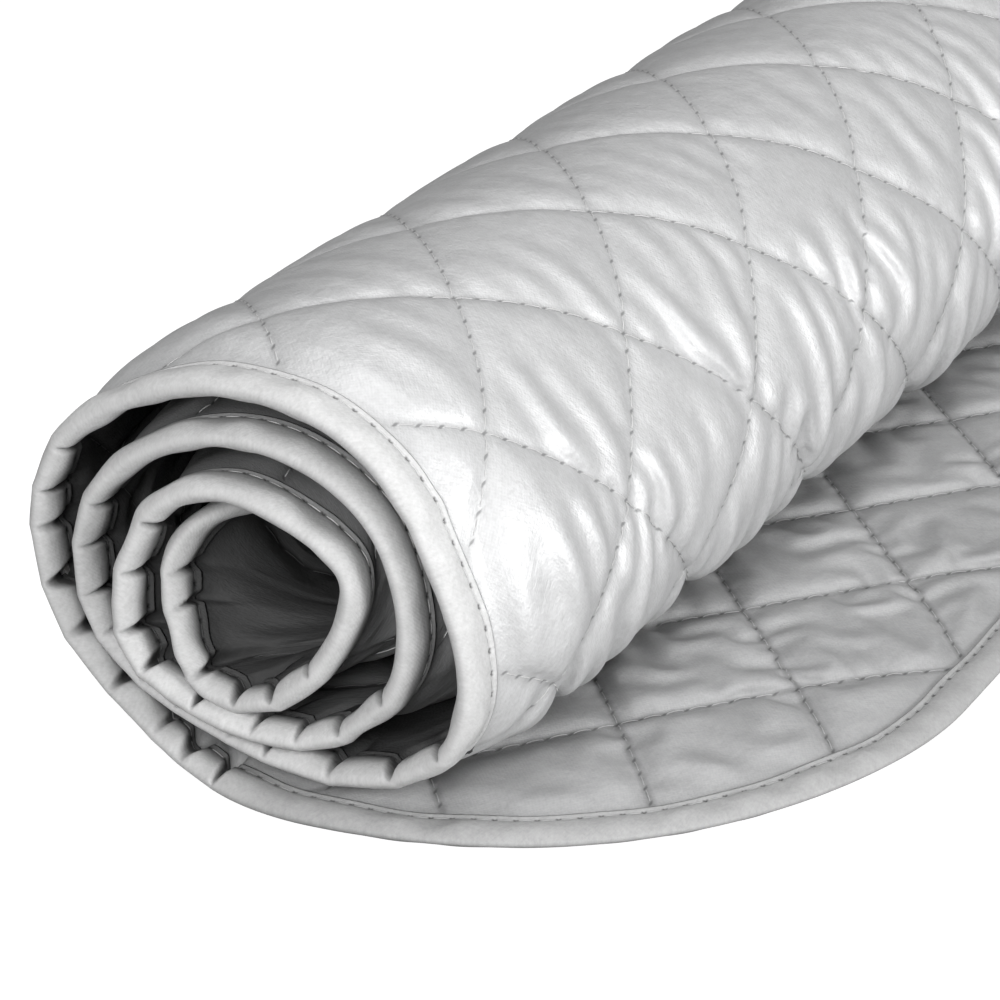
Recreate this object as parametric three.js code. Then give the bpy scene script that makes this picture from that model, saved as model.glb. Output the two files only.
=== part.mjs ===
// A quilted ironing pad, wound into a loose roll with its free end lying flat beside it.
// Millimetres, +Z up. The roll lies along Y and the free end points along +X.
// The origin is on the table, under the middle of the roll, where the flat free end begins.
//
// Every layer is laid out on the flat pad first, with three coordinates:
//   s  along the pad, from the free end to the end in the middle of the roll
//   y  across the pad, 0 on its centre line
//   b  through the pad, 0 half way, positive towards the outside of the roll
// and is then carried to its wound place by padPoint().

import * as THREE from "three";

// The pad lying flat
const PAD_LENGTH = 850;
const PAD_WIDTH = 480;
const CORNER_RADIUS = 100;
const PAD_THICKNESS = 7.4;
const COVER_THICKNESS = 0.5;
const LAYER_GAP = 0.3;

// The tape that binds the edge, and the seam that holds it
const TAPE_THICKNESS = 0.6;
const TAPE_WIDTH = 12;
const TAPE_ROUNDING = 1.4;
const TAPE_LEG_STEPS = 4;
const TAPE_TURN_LENGTH = 4;
const SEAM_INSET = 2;
const THREAD_WIDTH = 0.8;
const THREAD_HEIGHT = 0.4;
const PRESSED_RAMP = 1.5;

// The quilting: two sets of slanted seams that leave diamonds
const DIAMOND_LENGTH = 52.4;
const DIAMOND_WIDTH = 60;
const SEAM_DEPTH = 2.3;
const FIRST_CROSSING_S = 57.7;
const FIRST_CROSSING_Y = -183.8;
// Rows of seam crossings and diamond centres, counted from the first crossing: those of one turn of the
// roll, and those among them that stand clear of the table and of the free end.
const TURN_ROWS = { first: 2, last: 12 };
const RAISED_ROWS = { first: 3, last: 11 };

// The roll. Its outermost turn runs through places (x, z) of the pad's midline, as shares of the width
// between the midlines on its two sides. Each further turn is a smaller copy, drawn in to a centre.
const ROLL_WIDTH = 103.6;
const ROLL_CENTRE = { x: -0.039, z: 0.444 };
const TURN_SHRINK = 0.2;
const TURN_COUNT = 5;
const OUTER_TURN = [
  [-0.164, 0.058],
  [-0.309, 0.125],
  [-0.449, 0.241],
  [-0.517, 0.367],
  [-0.529, 0.521],
  [-0.465, 0.669],
  [-0.344, 0.78],
  [-0.193, 0.842],
  [-0.039, 0.858],
  [0.104, 0.833],
  [0.232, 0.774],
  [0.319, 0.695],
  [0.402, 0.602],
  [0.454, 0.504],
  [0.471, 0.386],
  [0.452, 0.28],
  [0.396, 0.187],
  [0.29, 0.13],
  [0.154, 0.113],
];

// The flat free end, which bends at straight lines across the pad
const FREE_END_LENGTH = 105;
const FIRST_BEND_X = 36;
const BEND_COUNT = 3;
const BEND_GAP = 0.3;

// Columns of a layer between its edge and its quilting: the raw edge, the taped edge and the open cloth
const PLAIN_EDGE_COLUMNS = 3;

// Fineness of the facets
const CORNER_STEP = THREE.MathUtils.degToRad(15);
const STEPS_PER_PLACE = 24;

const COVER_CLOTH = { color: 0xc4c6c8, roughness: 0.42, metalness: 0.35 };
const LINING_CLOTH = { color: 0xa4a6a8, roughness: 0.55, metalness: 0.25 };
const WADDING_FIBRE = { color: 0xf0efe9, roughness: 0.95, metalness: 0 };
const TAPE_CLOTH = { color: 0xc9cacb, roughness: 0.6, metalness: 0.1 };
const THREAD_FIBRE = { color: 0x8f9193, roughness: 0.7, metalness: 0 };

// Through the pad: half thicknesses of each layer's faces
const OUTER_FACE = PAD_THICKNESS / 2;
const WADDING_FACE = OUTER_FACE - COVER_THICKNESS - LAYER_GAP;
// At the edge, the tape and its thread press the layers together, so that both lie flush with the covers.
const EDGE_PRESS = THREAD_HEIGHT + TAPE_THICKNESS + 2 * LAYER_GAP;
const TAPE_FACE = OUTER_FACE - THREAD_HEIGHT - LAYER_GAP;
const TAPE_OVERHANG = LAYER_GAP + TAPE_THICKNESS;

const FLAT_LENGTH = quiltRow(TURN_ROWS.first);
const ROLL_START_X = FREE_END_LENGTH - FLAT_LENGTH;
const winding = windMidline();
const rollRows = windRows();

// A row of the quilting's seam crossings and diamond centres: its length along the pad.
function quiltRow(row) {
  return FIRST_CROSSING_S + (row * DIAMOND_LENGTH) / 2;
}

// Places that the wound midline runs through, from the flat pad inwards.
function windingPlaces() {
  const places = [FREE_END_LENGTH, ROLL_START_X].map((x) => new THREE.Vector3(x, 0, OUTER_FACE));
  const lastPlace = OUTER_TURN.length - 1;
  for (let turn = 0; turn < TURN_COUNT; turn += 1) {
    const startSize = 1 - turn * TURN_SHRINK;
    const endSize = (startSize - TURN_SHRINK) / (1 - TURN_SHRINK);
    OUTER_TURN.forEach(([x, z], place) => {
      const size = ROLL_WIDTH * THREE.MathUtils.lerp(startSize, endSize, place / lastPlace);
      const placeX = ROLL_WIDTH * ROLL_CENTRE.x + size * (x - ROLL_CENTRE.x);
      const placeZ = ROLL_WIDTH * ROLL_CENTRE.z + size * (z - ROLL_CENTRE.z);
      places.push(new THREE.Vector3(placeX, 0, placeZ));
    });
  }
  return places;
}

// Points of the wound midline, with the length of pad used up at each and the places passed so far.
function windMidline() {
  const places = windingPlaces();
  const curve = new THREE.CatmullRomCurve3(places, false, "centripetal");
  const points = [{ x: ROLL_START_X, z: OUTER_FACE, s: FLAT_LENGTH, passed: 1 }];
  const stretches = places.length - 1;
  for (let step = STEPS_PER_PLACE + 1; step <= stretches * STEPS_PER_PLACE; step += 1) {
    const passed = step / STEPS_PER_PLACE;
    const { x, z: height } = curve.getPoint(passed / stretches);
    const z = Math.max(height, OUTER_FACE);
    const last = points.at(-1);
    points.push({ x, z, s: last.s + Math.hypot(x - last.x, z - last.z), passed });
  }
  return points;
}

// The place in a list, sorted by one of its values, of the last point that doesn't exceed a value.
function stretchAt(points, key, value) {
  let low = 0;
  let high = points.length - 1;
  while (high - low > 1) {
    const middle = (low + high) >> 1;
    if (points[middle][key] <= value) low = middle;
    else high = middle;
  }
  return low;
}

// A point between two neighbours in such a list, with every value shared out evenly.
function pointAt(points, key, value) {
  const low = stretchAt(points, key, value);
  const [a, b] = [points[low], points[low + 1]];
  const share = (value - a[key]) / (b[key] - a[key]);
  const values = Object.keys(a).map((name) => [name, THREE.MathUtils.lerp(a[name], b[name], share)]);
  return Object.fromEntries(values);
}

// Rows of the roll, with the midline's place and direction at each. Every turn has its rows where the
// outermost one has those of the quilting, so that the facets of the turns lie parallel. The bound end
// inside the roll has a row wherever its tape has corners.
function windRows() {
  const boundEnd = tapeRows().map((distance) => PAD_LENGTH - distance);
  const lengths = [PAD_LENGTH, ...boundEnd];
  for (let turn = 0; turn < TURN_COUNT - 1; turn += 1) {
    for (let row = TURN_ROWS.first; row <= TURN_ROWS.last; row += 1) {
      const passed = pointAt(winding, "s", quiltRow(row)).passed + turn * OUTER_TURN.length;
      const { s } = pointAt(winding, "passed", passed);
      if (s < Math.min(...boundEnd)) lengths.push(s);
    }
  }
  return lengths
    .sort((a, b) => a - b)
    .map((s) => {
      const low = stretchAt(winding, "s", s);
      const [a, b] = [winding[low], winding[low + 1]];
      const { x, z } = pointAt(winding, "s", s);
      return { x, z, s, alongX: (b.x - a.x) / (b.s - a.s), alongZ: (b.z - a.z) / (b.s - a.s) };
    });
}

// The midline's place and direction at a length along the pad: flat, and then on the facets of the roll.
function midlineAt(s) {
  if (s <= FLAT_LENGTH) {
    return { x: FREE_END_LENGTH - s, z: OUTER_FACE, alongX: -1, alongZ: 0 };
  }
  return pointAt(rollRows, "s", s);
}

function padPoint(s, y, b) {
  const { x, z, alongX, alongZ } = midlineAt(s);
  return new THREE.Vector3(x - b * alongZ, y, z + b * alongX);
}

// Distance along the pad to its nearer end, and which way that end lies.
function nearerEnd(s) {
  return s < PAD_LENGTH / 2 ? { distance: s, way: -1 } : { distance: PAD_LENGTH - s, way: 1 };
}

// Half the width of the pad, or of its outline drawn in by an inset, at a length along it.
function halfWidth(s, inset = 0) {
  const straightEnd = PAD_WIDTH / 2 - CORNER_RADIUS;
  const { distance } = nearerEnd(s);
  const radius = CORNER_RADIUS - inset;
  const fromCentre = Math.min(Math.max(CORNER_RADIUS - distance, 0), radius);
  return straightEnd + Math.sqrt(radius ** 2 - fromCentre ** 2);
}

// A place on an outline of the pad near its ends, drawn in by an inset, at an angle round the corner.
function cornerPlace(way, angle, inset) {
  const radius = CORNER_RADIUS - inset;
  const distance = CORNER_RADIUS - radius * Math.cos(angle);
  const y = PAD_WIDTH / 2 - CORNER_RADIUS + radius * Math.sin(angle);
  return { s: way < 0 ? distance : PAD_LENGTH - distance, y };
}

// The raw edge on one side of the pad, and the place that a leg of the tape reaches in from it.
// The leg runs straight across the pad, as the bends do, and turns along the pad only at its very ends.
function edgeAt(s, side) {
  const { distance, way } = nearerEnd(s);
  const raw = { s, y: side * halfWidth(s) };
  const turnLength = TAPE_WIDTH + TAPE_TURN_LENGTH;
  if (distance >= turnLength) {
    return { raw, tip: { s, y: side * halfWidth(s, TAPE_WIDTH) } };
  }
  const angleAt = (radius, length) => Math.acos((CORNER_RADIUS - length) / radius);
  const share = angleAt(CORNER_RADIUS, distance) / angleAt(CORNER_RADIUS, turnLength);
  const tip = cornerPlace(way, share * angleAt(CORNER_RADIUS - TAPE_WIDTH, turnLength), TAPE_WIDTH);
  return { raw, tip: { s: tip.s, y: side * tip.y } };
}

// The columns of the same lattice that lie clear of the tape, each with its number.
function quiltColumns() {
  const reach = PAD_WIDTH / 2 - TAPE_WIDTH - PRESSED_RAMP - LAYER_GAP;
  const spacing = DIAMOND_WIDTH / 2;
  const first = Math.ceil((-reach - FIRST_CROSSING_Y) / spacing);
  const last = Math.floor((reach - FIRST_CROSSING_Y) / spacing);
  return Array.from({ length: last - first + 1 }, (_, step) => ({
    number: first + step,
    y: FIRST_CROSSING_Y + (first + step) * spacing,
  }));
}

// Lengths along the pad at which a piece from one length to another needs a row of vertices.
function stations(from, to) {
  const lengths = rollRows.map((row) => row.s);
  for (let angle = 0; angle < Math.PI / 2 + CORNER_STEP / 2; angle += CORNER_STEP) {
    const distance = CORNER_RADIUS * (1 - Math.cos(angle));
    lengths.push(distance, PAD_LENGTH - distance);
  }
  for (const distance of [...tapeRows(), TAPE_WIDTH + PRESSED_RAMP]) {
    lengths.push(distance, PAD_LENGTH - distance);
  }
  const between = lengths.filter((s) => s > from + LAYER_GAP && s < to - LAYER_GAP).sort((a, b) => a - b);
  return [from, ...between.filter((s, i) => i === 0 || s - between[i - 1] > LAYER_GAP), to];
}

// The edge is followed round the pad one way: up its near side and back down its far side.
function nearEdges(from, to) {
  return stations(from, to).map((s) => edgeAt(s, -1));
}

function farEdges(from, to) {
  return stations(from, to)
    .reverse()
    .map((s) => edgeAt(s, 1));
}

// A closed solid between two grids of points, of which the outer one faces out of the roll. Its cells are
// folded from corner to corner, and the other way where isTurned says so.
function gridSolid(outer, inner, isTurned = () => false) {
  const columns = outer[0].length;
  const points = [...outer.flat(), ...inner.flat()];
  const at = (i, j) => i * columns + j;
  const under = (i, j) => outer.length * columns + at(i, j);
  const lastRow = outer.length - 1;
  const lastColumn = columns - 1;
  const triangles = [];
  const quad = (a, b, c, d) => triangles.push(a, b, c, a, c, d);
  for (let i = 0; i < lastRow; i += 1) {
    for (let j = 0; j < lastColumn; j += 1) {
      const top = [at(i, j), at(i + 1, j), at(i + 1, j + 1), at(i, j + 1)];
      const bottom = [under(i, j), under(i, j + 1), under(i + 1, j + 1), under(i + 1, j)];
      const turned = isTurned(i, j) ? 1 : 0;
      quad(...top.slice(turned), ...top.slice(0, turned));
      quad(...bottom.slice(turned), ...bottom.slice(0, turned));
    }
    quad(at(i, 0), under(i, 0), under(i + 1, 0), at(i + 1, 0));
    quad(at(i, lastColumn), at(i + 1, lastColumn), under(i + 1, lastColumn), under(i, lastColumn));
  }
  for (let j = 0; j < lastColumn; j += 1) {
    quad(at(0, j), at(0, j + 1), under(0, j + 1), under(0, j));
    quad(at(lastRow, j), under(lastRow, j), under(lastRow, j + 1), at(lastRow, j + 1));
  }
  return indexedGeometry(points, triangles);
}

function indexedGeometry(points, triangles) {
  const geometry = new THREE.BufferGeometry().setFromPoints(points);
  geometry.setIndex(triangles);
  geometry.computeVertexNormals();
  return geometry;
}

// One cloth or the wadding, between two half thicknesses, pressed thinner along the pad's edge.
// A quilted one is drawn in by the seams on its faces that look out of the roll, round the outermost turn.
function layer(from, to, outerFace, innerFace, isQuilted = false) {
  const lattice = isQuilted ? quiltColumns() : [];
  const fullWidth = PAD_WIDTH / 2 - TAPE_WIDTH - PRESSED_RAMP;
  const lengths = stations(from, to);
  const rows = lengths.map((s) => {
    const edge = halfWidth(s);
    const taped = Math.min(halfWidth(s, TAPE_WIDTH), edge - TAPE_WIDTH / 2);
    const open = Math.min(halfWidth(s, TAPE_WIDTH + PRESSED_RAMP), taped - PRESSED_RAMP);
    const isPressedRow = nearerEnd(s).distance < TAPE_WIDTH + PRESSED_RAMP - LAYER_GAP;
    const press = (b) => b - Math.sign(b) * EDGE_PRESS;
    const plainColumn = (y) => ({ y, isPressed: Math.abs(y) > open || isPressedRow, isSewn: false });
    const columns = [
      ...[-edge, -taped, -open].map(plainColumn),
      ...lattice.map(({ number, y }) => ({
        y: (y * open) / fullWidth,
        isPressed: isPressedRow,
        isSewn: isCrossing(s, number),
      })),
      ...[open, taped, edge].map(plainColumn),
    ];
    const faceRow = (b) =>
      columns.map(({ y, isPressed, isSewn }) => {
        const drawnIn = isSewn && b > 0 ? b - SEAM_DEPTH : b;
        return padPoint(s, y, isPressed ? press(b) : drawnIn);
      });
    return { outer: faceRow(outerFace), inner: faceRow(innerFace) };
  });
  // A cell's fold runs along the seam that crosses it.
  const isTurned = (i, j) => {
    const column = lattice[j - PLAIN_EDGE_COLUMNS];
    return column !== undefined && (Math.round(quiltRowAt(lengths[i])) + column.number) % 2 !== 0;
  };
  return gridSolid(
    rows.map((row) => row.outer),
    rows.map((row) => row.inner),
    isTurned,
  );
}

// The number, whole or not, of the quilting's row at a length along the pad.
function quiltRowAt(s) {
  return ((s - FIRST_CROSSING_S) * 2) / DIAMOND_LENGTH;
}

// Whether seams cross where a length along the pad meets a column of the quilting.
function isCrossing(s, column) {
  const row = Math.round(quiltRowAt(s));
  const isRow = Math.abs(quiltRow(row) - s) < LAYER_GAP;
  return isRow && row >= RAISED_ROWS.first && row <= RAISED_ROWS.last && (row + column) % 2 === 0;
}

// A strip with one section all along a stretch of the pad's edge. The section is given by two faces with
// as many corners each, and a corner by (how far out from the raw edge, how far through the pad).
function edgeStrip(edges, outerFace, innerFace) {
  const between = (a, b, share) => a + share * (b - a);
  const corner = ({ raw, tip }, [out, b]) => {
    const share = -out / TAPE_WIDTH;
    return padPoint(between(raw.s, tip.s, share), between(raw.y, tip.y, share), b);
  };
  const grid = (face) => edges.map((edge) => face.map((place) => corner(edge, place)));
  return gridSolid(grid(outerFace), grid(innerFace));
}

// Distances from an end of the pad at which the tape there has corners.
function tapeRows() {
  return [...legSteps().map((out) => -out), TAPE_WIDTH + TAPE_TURN_LENGTH];
}

// How far out from the raw edge the tape's legs have corners.
function legSteps() {
  return Array.from({ length: TAPE_LEG_STEPS }, (_, step) => (-TAPE_WIDTH * (step + 1)) / TAPE_LEG_STEPS);
}

// One face of the folded tape, from the leg inside the roll, round the raw edge, to the leg outside it.
function foldedFace(web, leg, rounding) {
  const outsideLeg = [
    [web, leg - rounding],
    [web - rounding, leg],
    ...legSteps().map((out) => [out, leg]),
  ];
  const insideLeg = outsideLeg.map(([out, b]) => [out, -b]).reverse();
  return [...insideLeg, ...outsideLeg];
}

function edgeTape(edges) {
  const inside = foldedFace(LAYER_GAP, TAPE_FACE - TAPE_THICKNESS, LAYER_GAP);
  const outside = foldedFace(TAPE_OVERHANG, TAPE_FACE, TAPE_ROUNDING);
  return edgeStrip(edges, outside, inside);
}

// The seam's thread, which lies on a leg of the tape. The side is 1 outside the roll and -1 inside it.
function seamThread(edges, side) {
  const seam = SEAM_INSET - TAPE_WIDTH;
  const across = [seam + (side * THREAD_WIDTH) / 2, seam - (side * THREAD_WIDTH) / 2];
  const face = (b) => across.map((out) => [out, side * b]);
  return edgeStrip(edges, face(OUTER_FACE), face(OUTER_FACE - THREAD_HEIGHT));
}

const pad = new THREE.Group();

function addPiece(name, geometry, finish) {
  const mesh = new THREE.Mesh(geometry, new THREE.MeshStandardMaterial(finish));
  mesh.name = name;
  pad.add(mesh);
}

function addLayers(part, from, to, isQuilted = false) {
  const cover = layer(from, to, OUTER_FACE, WADDING_FACE + LAYER_GAP, isQuilted);
  addPiece(`outer_cover_${part}`, cover, COVER_CLOTH);
  addPiece(`wadding_${part}`, layer(from, to, WADDING_FACE, -WADDING_FACE, isQuilted), WADDING_FIBRE);
  addPiece(`inner_cover_${part}`, layer(from, to, -WADDING_FACE - LAYER_GAP, -OUTER_FACE), LINING_CLOTH);
}

function addEdge(part, edges) {
  addPiece(`edge_tape_${part}`, edgeTape(edges), TAPE_CLOTH);
  addPiece(`outer_seam_${part}`, seamThread(edges, 1), THREAD_FIBRE);
  addPiece(`inner_seam_${part}`, seamThread(edges, -1), THREAD_FIBRE);
}

// The wound part, which runs on flat to the first bend.
const firstBend = FREE_END_LENGTH - FIRST_BEND_X;
const rollStart = firstBend + BEND_GAP / 2;
addLayers("roll", rollStart, PAD_LENGTH, true);
addEdge("roll", [...nearEdges(rollStart, PAD_LENGTH), ...farEdges(rollStart, PAD_LENGTH)]);

// The panels of the free end, counted from the roll outwards.
const panelLength = firstBend / BEND_COUNT;
for (let panel = 1; panel <= BEND_COUNT; panel += 1) {
  const isLast = panel === BEND_COUNT;
  const from = isLast ? 0 : firstBend - panel * panelLength + BEND_GAP / 2;
  const to = firstBend - (panel - 1) * panelLength - BEND_GAP / 2;
  const part = `end_${panel}`;
  addLayers(part, from, to);
  if (isLast) {
    addEdge(part, [...farEdges(from, to), ...nearEdges(from, to)]);
  } else {
    addEdge(`${part}_near`, nearEdges(from, to));
    addEdge(`${part}_far`, farEdges(from, to));
  }
}

export default pad;
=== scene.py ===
import functools
import math

import bpy
import numpy as np
from bpy.props import FloatProperty, FloatVectorProperty, IntProperty, PointerProperty
from mathutils import Matrix


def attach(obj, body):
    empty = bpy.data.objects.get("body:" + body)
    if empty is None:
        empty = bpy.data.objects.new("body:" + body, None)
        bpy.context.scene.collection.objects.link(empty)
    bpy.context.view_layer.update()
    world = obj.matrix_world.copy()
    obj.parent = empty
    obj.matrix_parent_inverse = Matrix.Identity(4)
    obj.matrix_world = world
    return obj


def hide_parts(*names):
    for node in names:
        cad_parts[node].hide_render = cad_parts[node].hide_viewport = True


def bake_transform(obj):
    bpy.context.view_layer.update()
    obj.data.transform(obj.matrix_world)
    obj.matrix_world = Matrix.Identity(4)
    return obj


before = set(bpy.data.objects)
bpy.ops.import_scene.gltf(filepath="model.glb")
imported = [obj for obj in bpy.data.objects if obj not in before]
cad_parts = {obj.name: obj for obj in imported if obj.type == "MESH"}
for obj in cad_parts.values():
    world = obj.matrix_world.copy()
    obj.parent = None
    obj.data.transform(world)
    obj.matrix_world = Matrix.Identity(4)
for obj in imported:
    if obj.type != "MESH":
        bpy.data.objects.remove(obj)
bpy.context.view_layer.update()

bl_info = {
    "name": "Quilted ironing pad",
    "version": (1, 0, 0),
    "blender": (4, 5, 0),
    "location": "View3D > Sidebar > Ironing pad",
    "description": "Makes a rolled-up quilted ironing pad, with its bound edge, seams and studio",
    "category": "Add Mesh",
}

MM = 0.001

FREE_END_LENGTH = 105 * MM

# The pad's middle in the middle of the roll: places (x, z) in mm on the flat free end and round the
# outermost turn. The inner turns are smaller copies of it, drawn in to a centre.
FLAT_ROUTE = ((200, 3.7), (105, 3.7), (-5, 3.7))
OUTER_TURN = (
    (-17, 6), (-32, 13), (-46.5, 25), (-53.6, 38), (-54.6, 54), (-47.6, 69), (-35, 79.8),
    (-20, 86.1), (-4, 87.9), (10.8, 85.8), (24, 80), (33.1, 72), (41.6, 62.4), (47, 52.2), (48.8, 40),
    (46.8, 29), (41, 19.4), (30, 13.4), (16, 11.7),
)
ROLL_CENTRE = (-4, 46)
TURN_SHRINK = 0.2
TURN_COUNT = 5

# The winding at the two ends of the roll, where the thin bound edge leaves the turns loose.
# Places of the pad's middle (x, z) in mm, from the flat free end inwards.
END_ROUTE = (
    (200, 2.6), (60, 2.6), (20, 2.6), (-4, 2.7),
    (-16, 4.8), (-31.5, 12), (-46.5, 24.5), (-53, 37.5), (-54.3, 55), (-47, 70.3), (-36, 78.4),
    (-20, 85.8), (-4, 87.4), (12, 84.6), (25, 76), (31, 66.6), (39.4, 48.6), (41.9, 36), (39.6, 24.4),
    (32, 15.8), (18, 10.3), (5, 9.4), (-9.9, 12.3), (-19.1, 15.2), (-27.9, 18.7), (-35.3, 23.2),
    (-42.4, 31.5), (-45, 45.5), (-41, 58.6), (-31, 69.2), (-15, 76.3), (0, 77), (14.6, 71.9), (24, 63),
    (28.4, 49), (27.8, 35.6), (22.5, 26.8), (10, 17.3), (-0.5, 16.5), (-10, 18), (-20, 21.2),
    (-29.2, 25.8), (-32.8, 32), (-33.4, 39), (-32.4, 45.5), (-29.5, 54), (-21.5, 63.5), (-8, 65.9),
    (9, 60.4), (16.8, 54.6), (17.2, 46.5),
    (10.4, 33.9), (4.1, 27), (-3, 23.4), (-11, 22.2), (-16.2, 23.2), (-20.3, 30.6), (-24, 38), (-25.6, 45),
    (-22, 53), (-13, 57.5), (-3, 55.5), (3, 48), (1.5, 39.5), (-5, 35.5), (-12, 38), (-15, 46),
)
# How far the turns have slid out of the roll's near end: lengths along the pad and slides, in mm
NEAR_SLIDE = ((590, 0), (615, 4.5), (650, 4.5), (690, 1), (730, 1.5), (770, 5), (800, 10), (850, 14))
ROUTE_STEP = 0.25 * MM
ROUTE_SOFTNESS = 1.6 * MM
LEAST_HEIGHT = 0.02 * MM
# How far the long edges spread on the flat free end, how far the bound edge lies outside the route, and
# the share by which the roll gets lower with each metre towards its far end
SPREAD = 5.5 * MM
EDGE_OUT = 0.5 * MM
TAPER = 0.14

# Where one state changes into another: the start and the length of each change.
# Inwards from the outline, outwards from the middle of the pad's width, and upwards
EDGE_PART = (5 * MM, 24 * MM)
SPREAD_PART = (0.165, 0.07)
NEAR_PART = (0.08, 0.13)
TAPER_PART = (0.02, 0.06)
# Along the pad, from its free end
LIFTED = (0.1, 0.05)
COVER_SLACK = (0.25, 0.08)
COVER_BURIED = (0.39, 0.04)
LINING_BURIED = (0.10, 0.03)
OUTER_LEG_BURIED = (0.40, 0.03)
EDGE_FULL = (0.05, 0.1)
LEG_FULL = (0.09, 0.08)
LEG_NARROW = (0.7, 0.06)
BUCKLED = (0.1, 12 * MM)

# The quilting: where its lattice starts, the grid that the cloth is worked out on, the height in mm that
# the wadding pushes it to, how far a puff sags sideways by its height, and lines enough for the lattice
LATTICE_S = 57.7 * MM
LATTICE_Y = -183.8 * MM
STEPS_PER_DIAMOND = 48
STITCH_EVERY = 3
TILE_DIAMONDS = (4, 8)
SETTLED_PUFF = 3.2
SAG = 0.75
LATTICE_LINES = 40
# Spare cloth along and across the pad, stiffness, the wadding's push, width and slenderness of the folds
OUTER_RELIEF = (0.006, 0.085, 0.026, 0.006, 14, 2.2)
INNER_RELIEF = (0.04, 0.06, 0.02, 0.006, 14, 1.2)
# The cloth's springs: steps to the neighbour along and across the pad, and stiffness
SPRINGS = ((1, 0, 1.0), (0, 1, 1.0), (1, 1, 0.35), (1, -1, 0.35))
REST_STEPS = 450
KEPT_SPEED = 0.94
TIME_STEP = 0.12

# Places along a stitch, the tape's sections for each of its stitches, and the seam's column in a section
STITCH_PLACES = np.array([0.06, 0.2, 0.4, 0.6, 0.8, 0.94])
SECTIONS_PER_STITCH = 10
SEAM_COLUMN = 4

# Where the bending stretches of the free end start (x)
BEND_STARTS = (24.5 * MM, 47.5 * MM, 70.5 * MM)

# Folds where the edge buckles inside the roll: the way (x, z) that the pad runs where it does so most, how
# nearly it has to run that way (1 is just so), where the first and last fold may be, and the least and
# most from one to the next
FOLD_WAY = (-0.82, 0.57)
FOLD_LEAST = -0.05
FIRST_FOLD = 114 * MM
LAST_FOLD = 812 * MM
FOLD_STEPS = (7 * MM, 15 * MM)
FOLD_COUNT = 80
BUCKLE_DEPTH = 3.2 * MM
BUCKLE_REACH = 24 * MM
PILLOW = 0.4 * MM
# The most that the near edge moves by running straighter between its folds, and the longest gap between
# two folds where it does so fully
KINK = 0.8 * MM
KINK_GAP = 18 * MM
# Rows that the tape's flat map is laid in
TAPE_MAP_ROWS = 9

# The floor's greys in the light that it throws back and as the camera sees it, its glow there, and the
# strength of the light from all round
FLOOR_SIZE = 6
FLOOR_GREY = (0.40, 0.40, 0.40, 1)
SEEN_GREY = (0.30, 0.30, 0.30, 1)
FLOOR_GLOW = 0.91
ROOM_LIGHT = 0.12
# Lamps: name, place, the point that each faces, size and power
LAMPS = (
    ("key_lamp", (1.5, -0.3, 0.5), (0, 0, 0.04), (0.6, 0.6), 19),
    ("front_lamp", (0.35, -1.4, 0.75), (0, -0.05, 0.04), (0.6, 0.6), 18),
    ("top_lamp", (0.2, 0, 1.8), (0, 0, 0.04), (0.8, 0.8), 13),
)
CAMERA_PLACE = (0.3519, -0.8093, 0.3643)
CAMERA_TURN = 27.98
CAMERA_TILT = 24.04
CAMERA_LENS = 137.8


def length_property(name, description, default):
    return FloatProperty(name=name, description=description, default=default, unit="LENGTH")


def colour_property(name, description, default):
    return FloatVectorProperty(
        name=name, description=description, default=default, subtype="COLOR", min=0, max=1)


class PadSizes(bpy.types.PropertyGroup):
    """Sizes of the pad and its sewing."""

    length: length_property("Length", "Length of the flat pad", 0.85)
    width: length_property("Width", "Width of the flat pad", 0.48)
    corner: length_property("Corner radius", "Radius of the pad's corners", 0.1)
    thickness: length_property("Thickness", "Thickness of the pad between its seams", 0.0074)
    diamond_length: length_property("Diamond length", "Length of a quilted diamond along the pad", 0.0524)
    diamond_width: length_property("Diamond width", "Width of a quilted diamond across the pad", 0.06)
    seam_level: length_property("Seam level", "Half thickness of the pad at a quilting seam", 0.0012)
    puff: length_property("Puff", "Height of a diamond above its seams", 0.0027)
    edge_thickness: length_property("Edge thickness", "Thickness of the bound edge", 0.0042)
    tape_leg: length_property("Tape leg", "Width of the tape on each face", 0.0084)
    tape_thickness: length_property("Tape thickness", "Thickness of the tape", 0.0005)
    seam_inset: length_property("Seam inset", "Distance from the tape's edge to its seam", 0.0014)
    stitch: length_property("Stitch", "Length of a stitch on the tape", 0.0044)
    thread: length_property("Thread", "Thickness of the thread", 0.00024)
    seed: IntProperty(name="Seed", description="Seed of the creases", default=7)


class PadColours(bpy.types.PropertyGroup):
    """Colours of the pad's cloths and thread, and of the floor."""

    cover: colour_property("Cover", "Silver cloth outside the roll", (0.56, 0.562, 0.566))
    lining: colour_property("Lining", "Cloth inside the roll", (0.33, 0.331, 0.333))
    tape: colour_property("Tape", "Tape round the edge", (0.58, 0.58, 0.58))
    thread: colour_property("Thread", "Sewing thread", (0.5, 0.5, 0.5))
    floor: colour_property("Floor", "Floor and background", (1.0, 1.0, 1.0))


def pad():
    """The pad's sizes."""
    return bpy.context.scene.pad_sizes


def unit(vectors):
    return vectors / np.linalg.norm(vectors, axis=-1, keepdims=True)


def smoothstep(share):
    share = np.clip(share, 0, 1)
    return share * share * (3 - 2 * share)


def changed(value, start, length):
    """0 up to the start of a change, and 1 from its end on."""
    return smoothstep((value - start) / length)


# The pad lying flat, and its wound places


def outline_distance(sizes, s, y):
    """Distance from the flat pad's outline, positive inside it."""
    across = np.abs(y) - (sizes.width / 2 - sizes.corner)
    along = np.abs(s - sizes.length / 2) - (sizes.length / 2 - sizes.corner)
    outside = np.hypot(np.maximum(across, 0), np.maximum(along, 0))
    return sizes.corner - outside - np.minimum(np.maximum(across, along), 0)


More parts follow.
